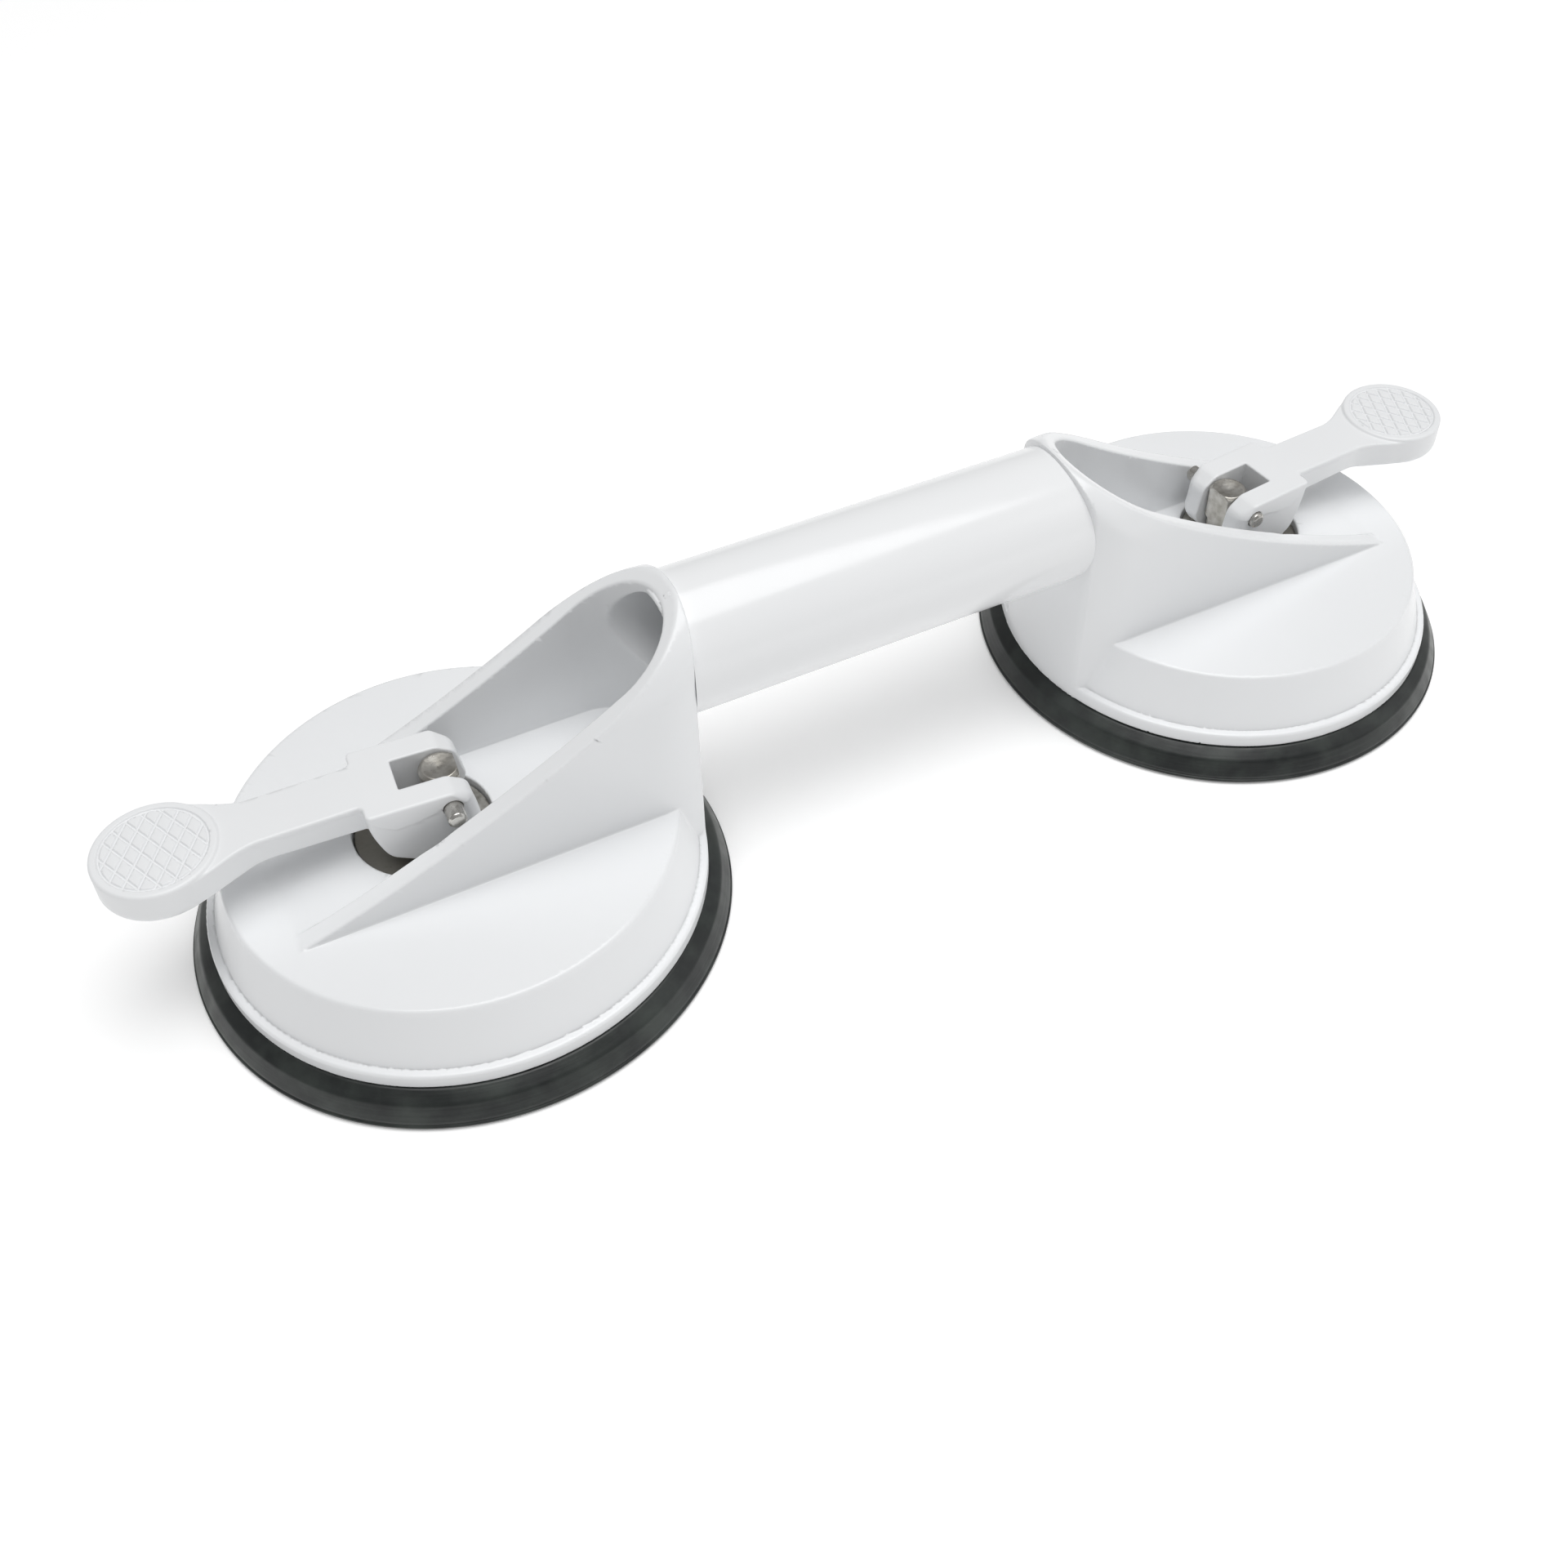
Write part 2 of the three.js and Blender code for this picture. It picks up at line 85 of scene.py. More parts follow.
HOOD_ARCH_RISE = 17
SLOT_HALF_WIDTH = 14.5
SLOT_BACK_CENTRE = 36.2
SPIGOT_START = 50
SPIGOT_LENGTH = 23
SPIGOT_RADIUS = 13.9
SPIGOT_BORE = 12.5
GATE_MARK = (52, -2.3, 0.7)  # x, y and radius, on the crown
DECK = 28.5
DECK_EDGE = -21.3
POCKET_CENTRE = -5.9
POCKET_RADIUS = 14.8
POCKET_FLOOR = 24.9
WASHER_TOP = 26.7
WASHER_THICKNESS = 1.5
PIN_HEIGHT = 39.9
PIN_RADIUS = 2
PIN_LENGTH = 24.2
PIN_CHAMFER = 0.55
PIN_PLAY = 0.12
STUD_RADIUS = 3.9
STUD_TOP = 43
STUD_FLAT = 3.3
STUD_FLAT_BOTTOM = 30
STUD_HEAD_RADIUS = 4.6
STUD_HEAD_BOTTOM = 33.5
EAR_HALF_WIDTH = 10
FORK_HALF_SLOT = 4.2
FORK_SLOT_END = 9.4
ARM_HALF_WIDTH = 6.1
SHOULDER = 17.4
LEVER_TOP = 4.2
PADDLE_CENTRE = 57.3
PADDLE_RADIUS = 12.51
PADDLE_TOP = 3.6
PADDLE_BOTTOM = -5
NECK_RADIUS = 9
TREAD_DEPTH = 0.36
TREAD_PITCH = 3.08
TREAD_RING_RADIUS = 10.5
CAM_HEIGHT = 12.9
LEVER_OPENING = math.radians(80)
STROKE = 6.4
CAM_RATE = STROKE / LEVER_OPENING
CUP_RADIUS = 59.08
CUP_DISH = 3.8
PLATE_BOTTOM = 6.9
PLATE_TOP = 9.4
PLATE_RADIUS = 24
NUT_BOTTOM = 9.7
NUT_THICKNESS = 4
NUT_ACROSS_FLATS = 13
SPRING_WASHER_RADIUS = 11.6
SPRING_WASHER_BOTTOM = 20.9
SPRING_WASHER_TOP = 21.7


def centre(node):
    low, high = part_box(node)
    return (low + high) / 2


def joint(name):
    return next(j for j in frame["joints"] if j["name"] == name)


def head_matrices(side):
    """Where a head's fixed pieces go, and where the pieces that turn with its stud go."""
    cup = centre(f"{side}_suction_cup")
    place = Matrix.Translation((cup.x, cup.y, 0))
    axis = joint(f"{side}_lever_hinge")["axis"]
    swivel = math.atan2(-axis[0], axis[1])
    turn = 0 if side == "left" else math.pi
    return place @ Matrix.Rotation(turn, 4, "Z"), place @ Matrix.Rotation(swivel, 4, "Z")


# ---------------------------------------------------------------- solids as distance fields
# A field gives the distance to a surface at (x, y, z) in mm, below zero inside the solid.


def both(a, b, radius=0.0):
    """Inside both, with the edge between them rounded."""
    corner = np.hypot(np.maximum(a + radius, 0), np.maximum(b + radius, 0))
    return np.minimum(-radius, np.maximum(a, b)) + corner


def either(a, b, radius=0.0):
    """Inside one or the other, with a fillet between them."""
    corner = np.hypot(np.maximum(radius - a, 0), np.maximum(radius - b, 0))
    return np.maximum(radius, np.minimum(a, b)) - corner


def without(a, b, radius=0.0):
    return both(a, -b, radius)


def rise(low, high, value):
    """A smooth step from 0 at low to 1 at high."""
    t = np.clip((value - low) / (high - low), 0, 1)
    return t * t * (3 - 2 * t)


def line(r, z, start, end):
    """Distance to the line from start to end, which has the solid on its left."""
    along = np.subtract(end, start) / np.hypot(*np.subtract(end, start))
    return (r - start[0]) * along[1] - (z - start[1]) * along[0]


def rounded(points, cut, closed=True):
    """An outline with each corner replaced by a short curve. An open one keeps its two ends."""
    steps = 5
    curve = []
    count = len(points)
    for i in range(count):
        corner = np.array(points[i], float)
        if not closed and i in (0, count - 1):
            curve.append(corner)
            continue
        ends = []
        for other in (points[i - 1], points[(i + 1) % count]):
            leg = np.array(other, float) - corner
            length = np.hypot(*leg)
            ends.append(corner + leg / length * min(cut, 0.48 * length))
        for k in range(steps + 1):
            t = k / steps
            curve.append((1 - t) ** 2 * ends[0] + 2 * t * (1 - t) * corner + t * t * ends[1])
    return np.array(curve)


def outline_distance(points, u, w):
    """Signed distance to a closed outline in the plane."""
    nearest = np.full(np.broadcast(u, w).shape, np.inf)
    sign = np.ones_like(nearest)
    for a, b in zip(points, np.roll(points, 1, axis=0)):
        du, dw = u - a[0], w - a[1]
        leg = b - a
        t = np.clip((du * leg[0] + dw * leg[1]) / (leg @ leg), 0, 1)
        nearest = np.minimum(nearest, (du - t * leg[0]) ** 2 + (dw - t * leg[1]) ** 2)
        above, below, left = w >= a[1], w < b[1], leg[0] * dw > leg[1] * du
        crosses = (above & below & left) | (~above & ~below & ~left)
        sign = np.where(crosses, -sign, sign)
    return sign * np.sqrt(nearest)


def tabled(points, step=0.1):
    """An outline's distance as a lookup, with straight interpolation between samples."""
    low = points.min(0) - 8
    size = np.ceil((points.max(0) + 8 - low) / step).astype(int) + 2
    us = low[0] + step * np.arange(size[0])
    ws = low[1] + step * np.arange(size[1])
    table = outline_distance(points, us[:, None], ws[None, :])

    def distance(u, w):
        fu = np.clip((u - low[0]) / step, 0, size[0] - 2)
        fw = np.clip((w - low[1]) / step, 0, size[1] - 2)
        i, k = fu.astype(int), fw.astype(int)
        tu, tw = fu - i, fw - k
        near = table[i, k] * (1 - tu) + table[i + 1, k] * tu
        far = table[i, k + 1] * (1 - tu) + table[i + 1, k + 1] * tu
        return near * (1 - tw) + far * tw

    return distance


# ---------------------------------------------------------------- meshes from fields


def slope_of(field, points, reach=0.03):
    """The field's gradient at each point."""
    slope = np.empty_like(points)
    for k in range(3):
        ahead, behind = points.copy(), points.copy()
        ahead[:, k] += reach
        behind[:, k] -= reach
        slope[:, k] = (field(*ahead.T) - field(*behind.T)) / (2 * reach)
    return slope


def settled(field, points, limit):
    """Points moved onto the surface, by no more than the limit."""
    for _ in range(2):
        slope = slope_of(field, points)
        move = slope * (field(*points.T) / np.maximum((slope**2).sum(1), 0.2))[:, None]
        length = np.linalg.norm(move, axis=1, keepdims=True)
        points = points - move * np.minimum(1, limit / np.maximum(length, 1e-9))
    return points


def field_mesh(name, field, low, high, step, ease=0.02):
    """The surface of a field inside the box from low to high, with the field's own normals.

    Ease lets the faces grow where the surface is flat.
    """
    step = step * QUICK
    low = np.array(low, float)
    count = np.ceil((np.array(high, float) - low) / step).astype(int) + 1
    x, y, z = ((low[k] + step * np.arange(count[k])).astype(np.float32) for k in range(3))
    values = field(x[:, None, None], y[None, :, None], z[None, None, :])
    grid = openvdb.FloatGrid()
    grid.copyFromArray(np.ascontiguousarray(values, np.float32))
    points, triangles, quads = grid.convertToPolygons(isovalue=0, adaptivity=ease)
    points = settled(field, points.astype(float) * step + low, step)
    corners = points[quads[:, :3]]
    facing = np.cross(corners[:, 1] - corners[:, 0], corners[:, 2] - corners[:, 0])
    way = -1 if (facing * corners[:, 0]).sum() < 0 else 1
    faces = triangles[:, ::way].tolist() + quads[:, ::way].tolist()
    mesh = bpy.data.meshes.new(name)
    mesh.from_pydata((points * MM).tolist(), [], faces)
    mesh.update()
    normals = slope_of(field, points)
    normals /= np.maximum(np.linalg.norm(normals, axis=1, keepdims=True), 1e-9)
    mesh.shade_smooth()
    mesh.normals_split_custom_set_from_vertices(normals.tolist())
    return mesh


def turned_mesh(name, outline, segments=160, axis="Z"):
    """A closed (radius, height) outline in mm turned about an axis. Its points on the axis meet."""
    points, faces, rings = [], [], []
    for radius, height in outline:
        if radius < 1e-6:
            rings.append([len(points)] * segments)
            points.append((0, 0, height))
            continue
        rings.append(list(range(len(points), len(points) + segments)))
        for k in range(segments):
            angle = 2 * math.pi * k / segments
            points.append((radius * math.cos(angle), radius * math.sin(angle), height))
    for lower, upper in zip(rings, rings[1:] + rings[:1]):
        for k in range(segments):
            n = (k + 1) % segments
            face = list(dict.fromkeys((lower[k], lower[n], upper[n], upper[k])))
            if len(face) > 2:
                faces.append(face)
    mesh = bpy.data.meshes.new(name)
    mesh.from_pydata([tuple(c * MM for c in p) for p in points], [], faces)
    mesh.transform({"X": Matrix.Rotation(math.pi / 2, 4, "Y"), "Y": Matrix.Rotation(-math.pi / 2, 4, "X"),
                    "Z": Matrix.Identity(4)}[axis])
    mesh.shade_smooth()
    return mesh


# ---------------------------------------------------------------- housing


def hood_edge(x):
    """Height of the hood's open edge, from its tip on the cover up to the crown."""
    run = x - HOOD_TIP
    length = RIM_RADIUS - HOOD_TIP
    share = np.clip(run / length, 0, 1.05)
    return COVER_TOP + 0.324 * run + 0.002 * run**2 + share**8


def cover_field(x, y, z):
    """The round cover: a flat top, a sloping side, and a flange with a groove above it."""
    r = np.hypot(x, y)
    side = line(r, z, *COVER_SIDE)
    body = both(both(side, z - COVER_TOP, 0.7), 9 - z)
    crown = z - FLANGE_TOP + 0.05 * (r - FLANGE_CROWN_RADIUS) ** 2
    flange = both(both(r - RIM_RADIUS, crown, 0.6), RIM_BOTTOM - z, 0.4)
    return either(body, flange, 0.15)


def cover_hollow(x, y, z):
    """The space under the roof, which holds the cup, the spring and the nut."""
    r = np.hypot(x, y)
    side = np.maximum(r - HOLLOW_RADIUS, line(r, z, *HOLLOW_SIDE))
    return both(side, z - ROOF, 1.5)


def roof_ribs(x, y, z):
    """A ring that centres the spring, and eight ribs from it to the cover's side."""
    r = np.hypot(x, y)
    eighth = np.arctan2(y, x) % (math.pi / 4) - math.pi / 8
    ring = np.abs(r - RIB_RING_RADIUS) - 0.9
    length = both(RIB_RING_RADIUS - 0.4 - r, r - RIB_END)
    rib = both(np.abs(r * np.sin(eighth)) - RIB_HALF_WIDTH, length)
    return both(both(either(ring, rib, 0.4), RIB_BOTTOM - z, 0.3), z - ROOF - 1)


def hood_plan(x, y, z):
    """The hood from above: straight walls, a round back, and an arch that closes over the grip."""
    beyond = np.maximum(x - HOOD_BACK_CENTRE, 0) ** 8
    over = (np.maximum(z - GRIP_HEIGHT, 0) * HOOD_HALF_WIDTH / HOOD_ARCH_RISE) ** 8
    sides = np.hypot(y, (beyond + over) ** 0.125) - HOOD_HALF_WIDTH
    return both(sides, np.hypot(x, y) - RIM_RADIUS, 0.3)


def slot_plan(x, y):
    """The slot between the hood's walls from above, with its half-round back."""
    return np.hypot(np.maximum(x - SLOT_BACK_CENTRE, 0), y) - SLOT_HALF_WIDTH


def channel_field(x, y, z):
    """The open space between the hood's walls, over the deck and the ramp that leads up to it."""

    def bend(at):
        return 0.5 * (x - at + np.hypot(x - at, 0.5))

    start = HOOD_TIP - 1
    rate = (DECK - COVER_TOP) / (DECK_EDGE - start)
    floor = COVER_TOP + rate * (bend(start) - bend(DECK_EDGE))
    return both(slot_plan(x, y), floor - z, 0.4)


def hood_field(x, y, z):
    """The hood, whose open edge rises from two square tips."""
    slope = 0.324 + 0.004 * (x - HOOD_TIP)
    top = (z - hood_edge(x) - 0.3) / np.hypot(1, slope)
    body = both(hood_plan(x, y, z), top, 0.5)
    body = both(both(body, HOOD_TIP - 0.6 - x, 0.25), RIM_BOTTOM - z)
    return without(body, channel_field(x, y, z), 0.5)


def pocket_field(x, y, z):
    """The round pocket in the deck for the wear washer."""
    return both(np.hypot(x - POCKET_CENTRE, y) - POCKET_RADIUS, POCKET_FLOOR - z, 0.3)


def spigot_field(x, bore):
    """The tube's seat on the hood's back. Bore is the distance from the grip's axis."""
    length = both(x - SPIGOT_START - SPIGOT_LENGTH, SPIGOT_START - x)
    return both(bore - SPIGOT_RADIUS, length, 0.6)


def gate_mark_field(x, y, z):
    """The small round mark that the mould's gate leaves on the crown."""
    across, along, radius = GATE_MARK
    mark = both(np.hypot(x - across, y - along) - radius, z - hood_edge(x) - 0.5, 0.2)
    return both(mark, hood_edge(x) - 1 - z)


def housing_field(x, y, z):
    """The whole moulding: cover, hood, ribs and spigot, with every opening cut."""
    r = np.hypot(x, y)
    bore = np.hypot(y, z - GRIP_HEIGHT)
    body = either(cover_field(x, y, z), hood_field(x, y, z), 0.35)
    body = both(body, r - RIM_RADIUS)
    body = without(body, cover_hollow(x, y, z), 0.5)
    body = np.minimum(body, roof_ribs(x, y, z))
    body = without(body, pocket_field(x, y, z), 0.35)
    body = without(body, both(r - STUD_RADIUS - 1, ROOF - 1 - z), 0.3)
    body = np.minimum(body, spigot_field(x, bore))
    body = without(body, both(bore - SPIGOT_BORE, SLOT_BACK_CENTRE - x), 0.35)
    return np.minimum(body, gate_mark_field(x, y, z))


# ---------------------------------------------------------------- lever
# The lever's own frame has its origin on the pin's axis, with the paddle towards -x.


def cam_point(angle):
    """Point of the cam that faces the washer when the lever is raised by the given angle."""
    height = CAM_HEIGHT - CAM_RATE * angle
    u = CAM_RATE * math.cos(angle) - height * math.sin(angle)
    w = -CAM_RATE * math.sin(angle) - height * math.cos(angle)
    return u, w


def fork_outline():
    """The fork from the side, left open above, where the lever's top surface cuts it."""
    cam = [cam_point(LEVER_OPENING * (1 - k / 14)) for k in range(15)]
    back = [(8, -12.9), (11.4, -10.9), (13.6, -9.6), (14.9, -7.9), (15.9, -5.2), (16.7, -2.6)]
    return [(SHOULDER, 14), (14.7, 14), (-4.4, 1.6), (-4.9, -2), *cam, *back, (SHOULDER, 1.5)]


def arm_outline():
    neck = PADDLE_CENTRE - PADDLE_RADIUS
    under = PADDLE_BOTTOM + 0.8
    return [(SHOULDER - 4, -3.2), (SHOULDER - 4, 14), (PADDLE_CENTRE, 14), (PADDLE_CENTRE, under),
            (neck - 2, under), (neck - 8, -3.2)]


fork_side = tabled(rounded(fork_outline(), 1.6))
arm_side = tabled(rounded(arm_outline(), 1.5))
PARTING = [(-6, 0.9), (0, 0.7), (4, 0.2), (8, -0.9), (12, -1.0), (15, 0.9), (17.4, 3.1), (45, 2.0)]


def parting_inset(u, w):
    """How far the lever's sides step in below the line where the mould's halves met."""
    below = np.interp(u, *zip(*PARTING)) - w
    return 0.13 * rise(0, 0.6, below) + 0.02 * np.maximum(below, 0)


def tread(u, y):
    """Depth of the paddle's ring groove and its two sets of slanting grooves."""
    half, slant = 0.42, math.radians(60)
    across = np.inf
    for way in (1, -1):
        offset = u * math.sin(slant) + way * y * math.cos(slant) - 2 + TREAD_PITCH / 2
        across = np.minimum(across, np.abs(offset % TREAD_PITCH - TREAD_PITCH / 2))
    r = np.hypot(u, y)
    inside = 1 - rise(TREAD_RING_RADIUS - 0.2, TREAD_RING_RADIUS + 0.2, r)
    ring = np.abs(r - TREAD_RING_RADIUS)
    groove = np.maximum((1 - rise(0.08, half, across)) * inside, 1 - rise(0.08, half, ring))
    pillow = 0.07 * (1 - rise(0, 1.5, across)) * inside
    return TREAD_DEPTH * groove + pillow


def paddle_field(u, y, w):
    """The round paddle, rounder below than above."""
    r = np.hypot(u - PADDLE_CENTRE, y)
    top = w - PADDLE_TOP + tread(u - PADDLE_CENTRE, y)
    disc = both(r - PADDLE_RADIUS, top, 0.7)
    return both(disc, PADDLE_BOTTOM - w, 2.4)


def lever_field(x, y, z):
    """The lever: a fork that ends in the cam, a thin arm, and the paddle."""
    u, w = -x, z
    width = np.abs(y)
    inset = parting_inset(u, w)
    edge = 0.5 + 1.9 * rise(-0.5, 4.5, x) + 0.7 * rise(SHOULDER - 4, SHOULDER, u)
    fork = both(fork_side(u, w), width - EAR_HALF_WIDTH + inset, edge)
    strip = width - ARM_HALF_WIDTH + inset
    neck = either(strip, np.hypot(u - PADDLE_CENTRE, y) - PADDLE_RADIUS + 1, NECK_RADIUS)
    arm = both(arm_side(u, w), neck, 0.9)
    body = either(fork, arm, 1.1)
    fall = np.maximum(u - SHOULDER, 0) * 1.2 / 27.4
    body = both(body, w - LEVER_TOP + fall, 0.55)
    body = without(body, both(width - FORK_HALF_SLOT, u - FORK_SLOT_END, 0.3), 0.45)
    body = without(body, np.hypot(x, z) - PIN_RADIUS - PIN_PLAY, 0.2)
    return either(body, paddle_field(u, y, w), 0.35)


# ---------------------------------------------------------------- small metal pieces


def stud_field(x, y, z):
    """The stud: a round shank, and a head with a dished top, two side flats and a front flat."""
    r = np.hypot(x, y)
    chamfer = (r + z - STUD_HEAD_RADIUS - STUD_TOP + 0.75) * math.sqrt(0.5)
    dish = 0.6 * np.maximum(1 - np.hypot(r, 0.3) / 3.6, 0)
    head = both(both(r - STUD_HEAD_RADIUS, z - STUD_TOP + dish, 0.1), chamfer, 0.1)
    under = (STUD_HEAD_BOTTOM + r - STUD_RADIUS - z) * math.sqrt(0.5)
    head = both(both(head, under, 0.1), np.abs(y) - STUD_RADIUS, 0.12)
    shank = both(both(r - STUD_RADIUS, z - STUD_TOP + 2), PLATE_BOTTOM - z, 0.2)
    body = np.minimum(head, shank)
    body = without(body, both(STUD_FLAT - x, STUD_FLAT_BOTTOM - z, 0.5), 0.12)
    return without(body, np.hypot(x, z - PIN_HEIGHT) - PIN_RADIUS - PIN_PLAY, 0.15)


def wear_washer_field(x, y, z):
    """The flat disc in the deck's pocket, with the stud's hole off its centre."""
    half = WASHER_THICKNESS / 2
    slab = np.abs(z - WASHER_TOP + half) - half
    disc = both(np.hypot(x - POCKET_CENTRE, y) - POCKET_RADIUS + 0.3, slab, 0.15)
    return without(disc, np.hypot(x, y) - STUD_RADIUS - 0.6, 0.15)


def lock_nut_field(x, y, z):
    """A hexagon nut with chamfered corners."""
    r = np.hypot(x, y)
    half = NUT_THICKNESS / 2
    slab = np.abs(z - NUT_BOTTOM - half) - half
    sixth = (np.arctan2(y, x) + math.pi / 6) % (math.pi / 3) - math.pi / 6
    hexagon = r * np.cos(sixth) - NUT_ACROSS_FLATS / 2
    cone = (r - NUT_ACROSS_FLATS / 2 - 0.4 + slab * 1.7) / 2
    body = both(both(hexagon, cone, 0.1), slab, 0.1)
    return without(body, r - STUD_RADIUS - 0.3, 0.2)


def ring_outline(hole, radius, bottom, top, cut):
    """The section of a flat ring, its corners cut."""
    return rounded([(hole, bottom), (radius, bottom), (radius, top), (hole, top)], cut)


def cup_outline():
    """The cup's section, with a crease under the flange and a thin bead along its bottom edge."""
    seat = PLATE_RADIUS + 0.3
    seat_floor = PLATE_BOTTOM - 0.3
    dish = [(0, CUP_DISH), (30, CUP_DISH), (44, CUP_DISH / 2), (50, 0)]
    bead = [(58.5, 0), (CUP_RADIUS, 0.4), (CUP_RADIUS, 0.95), (58.6, 1.2)]
    flank = [(58.7, 1.6), (56.9, 5.1), (56.5, 5.5), (54.2, 7.2), (46, 7.2), (36, 9), (28, 9.6)]
    recess = [(seat, 9.6), (seat, seat_floor), (0, seat_floor)]
    return rounded([*dish, *bead, *flank, *recess], 0.4, closed=False)


def pin_outline():
    """The section of a plain pin with chamfered ends."""
    end = PIN_LENGTH / 2
    flank = [(0, -end), (PIN_RADIUS - PIN_CHAMFER, -end), (PIN_RADIUS, PIN_CHAMFER - end)]
    mirrored = [(r, -h) for r, h in reversed(flank)]
    return rounded([*flank, *mirrored], 0.18, closed=False)


def spring_mesh(name, bottom, top, turns=4.5, radius=9.5, wire=0.8):
    """A wire wound round Z whose end turns lie closed."""
    sides, per_turn = 12, 40
    steps = int(turns * per_turn)
    low, high = bottom + wire, top - wire
    points, faces = [], []
    for k in range(steps + 1):
        share = k / steps
        lift = np.interp(share * turns, [0, 0.75, turns - 0.75, turns], [0, 0.12, 0.88, 1])
        angle = 2 * math.pi * turns * share
        out = Vector((math.cos(angle), math.sin(angle), 0))
        middle = out * radius + Vector((0, 0, low + (high - low) * lift))
        for s in range(sides):
            around = 2 * math.pi * s / sides
            points.append(middle + out * wire * math.cos(around) + Vector((0, 0, wire * math.sin(around))))
    for k in range(steps):
        for s in range(sides):
            n = (s + 1) % sides
            a = k * sides
            faces.append((a + s, a + sides + s, a + sides + n, a + n))
    faces.append(tuple(range(sides)))
    faces.append(tuple(steps * sides + s for s in reversed(range(sides))))
    mesh = bpy.data.meshes.new(name)
    mesh.from_pydata([p * MM for p in points], [], faces)
    mesh.shade_smooth()
    return mesh


# ---------------------------------------------------------------- materials


class Nodes:
    """A short way to write a node material."""

    def __init__(self, name):
        self.material = bpy.data.materials.new(name)
        self.material.use_nodes = True
        self.tree = self.material.node_tree
        self.shader = self.tree.nodes["Principled BSDF"]
        self.place = self.tree.nodes.new("ShaderNodeTexCoord").outputs["Object"]

    def link(self, source, target):
        self.tree.links.new(source, target)

    def noise(self, scale, detail=3.0, stretch=None):
        place = self.place
        if stretch:
            mapping = self.tree.nodes.new("ShaderNodeMapping")
            mapping.inputs["Scale"].default_value = stretch
            self.link(place, mapping.inputs["Vector"])
            place = mapping.outputs["Vector"]
        node = self.tree.nodes.new("ShaderNodeTexNoise")
        node.inputs["Scale"].default_value = scale
        node.inputs["Detail"].default_value = detail
        self.link(place, node.inputs["Vector"])
        return node.outputs["Fac"]

    def ramp(self, value, low, high, span=(0.3, 0.7)):
        node = self.tree.nodes.new("ShaderNodeMapRange")
        node.inputs["From Min"].default_value = span[0]
        node.inputs["From Max"].default_value = span[1]
        node.inputs["To Min"].default_value = low
        node.inputs["To Max"].default_value = high
        self.link(value, node.inputs["Value"])
        return node.outputs["Result"]

    def outward(self, value, low, high):
        """The value, raised to 1 as the distance from the grip's middle goes from low to high."""
        apart = self.tree.nodes.new("ShaderNodeSeparateXYZ")
        self.link(self.place, apart.inputs["Vector"])
        distance = self.tree.nodes.new("ShaderNodeMath")
        distance.operation = "ABSOLUTE"
        self.link(apart.outputs["X"], distance.inputs[0])
        larger = self.tree.nodes.new("ShaderNodeMath")
        larger.operation = "MAXIMUM"
        self.link(value, larger.inputs[0])
        self.link(self.ramp(distance.outputs[0], 0, 0.9, (low, high)), larger.inputs[1])
        return larger.outputs[0]

    def blend(self, share, first, second):
        node = self.tree.nodes.new("ShaderNodeMix")
        node.data_type = "RGBA"
        self.link(share, node.inputs["Factor"])
        for socket, value in ((node.inputs[6], first), (node.inputs[7], second)):
            if hasattr(value, "links"):
                self.link(value, socket)
            else:
                socket.default_value = (*value, 1)
        return node.outputs[2]

    def bump(self, height, strength, distance=0.0001, under=None):
        node = self.tree.nodes.new("ShaderNodeBump")
        node.inputs["Strength"].default_value = strength
        node.inputs["Distance"].default_value = distance
        self.link(height, node.inputs["Height"])
        if under:
            self.link(under, node.inputs["Normal"])
        return node.outputs["Normal"]

    def set(self, **values):
        for name, value in values.items():
            self.shader.inputs[name.replace("_", " ")].default_value = value


def moulded_plastic(name, colour, shade, rough):
    """Glossy white plastic: faint clouds of shade, a fine orange-peel surface, uneven polish."""
    nodes = Nodes(name)
    cloud = nodes.noise(28, 2)
    nodes.link(nodes.blend(nodes.ramp(cloud, 0, 1), colour, shade), nodes.shader.inputs["Base Color"])
    polish = nodes.noise(140, 4)
    nodes.link(nodes.ramp(polish, *rough), nodes.shader.inputs["Roughness"])
    grain = nodes.bump(nodes.noise(900, 2), 0.06, 0.00003)
    nodes.link(grain, nodes.shader.inputs["Normal"])
    nodes.set(IOR=1.49)
    return nodes.material


def rubber(name):
    """Black moulded rubber with a dusty bloom and a soft sheen."""
    nodes = Nodes(name)
    bloom = nodes.noise(110, 8)
    colour = nodes.blend(nodes.ramp(bloom, 0, 1, (0.4, 0.68)), (0.007, 0.0095, 0.0095), (0.03, 0.037, 0.033))
    nodes.link(colour, nodes.shader.inputs["Base Color"])
    nodes.link(nodes.ramp(nodes.noise(260, 4), 0.3, 0.45), nodes.shader.inputs["Roughness"])
    turned = nodes.noise(40, 2, (1, 1, 40))
    waves = nodes.bump(turned, 0.12, 0.0003)
    nodes.link(nodes.bump(nodes.noise(1800, 3), 0.25, 0.00003, waves), nodes.shader.inputs["Normal"])
    nodes.set(IOR=1.52, Sheen_Weight=0.12, Sheen_Roughness=0.4)
    nodes.shader.inputs["Sheen Tint"].default_value = (0.75, 0.8, 0.7, 1)
    return nodes.material


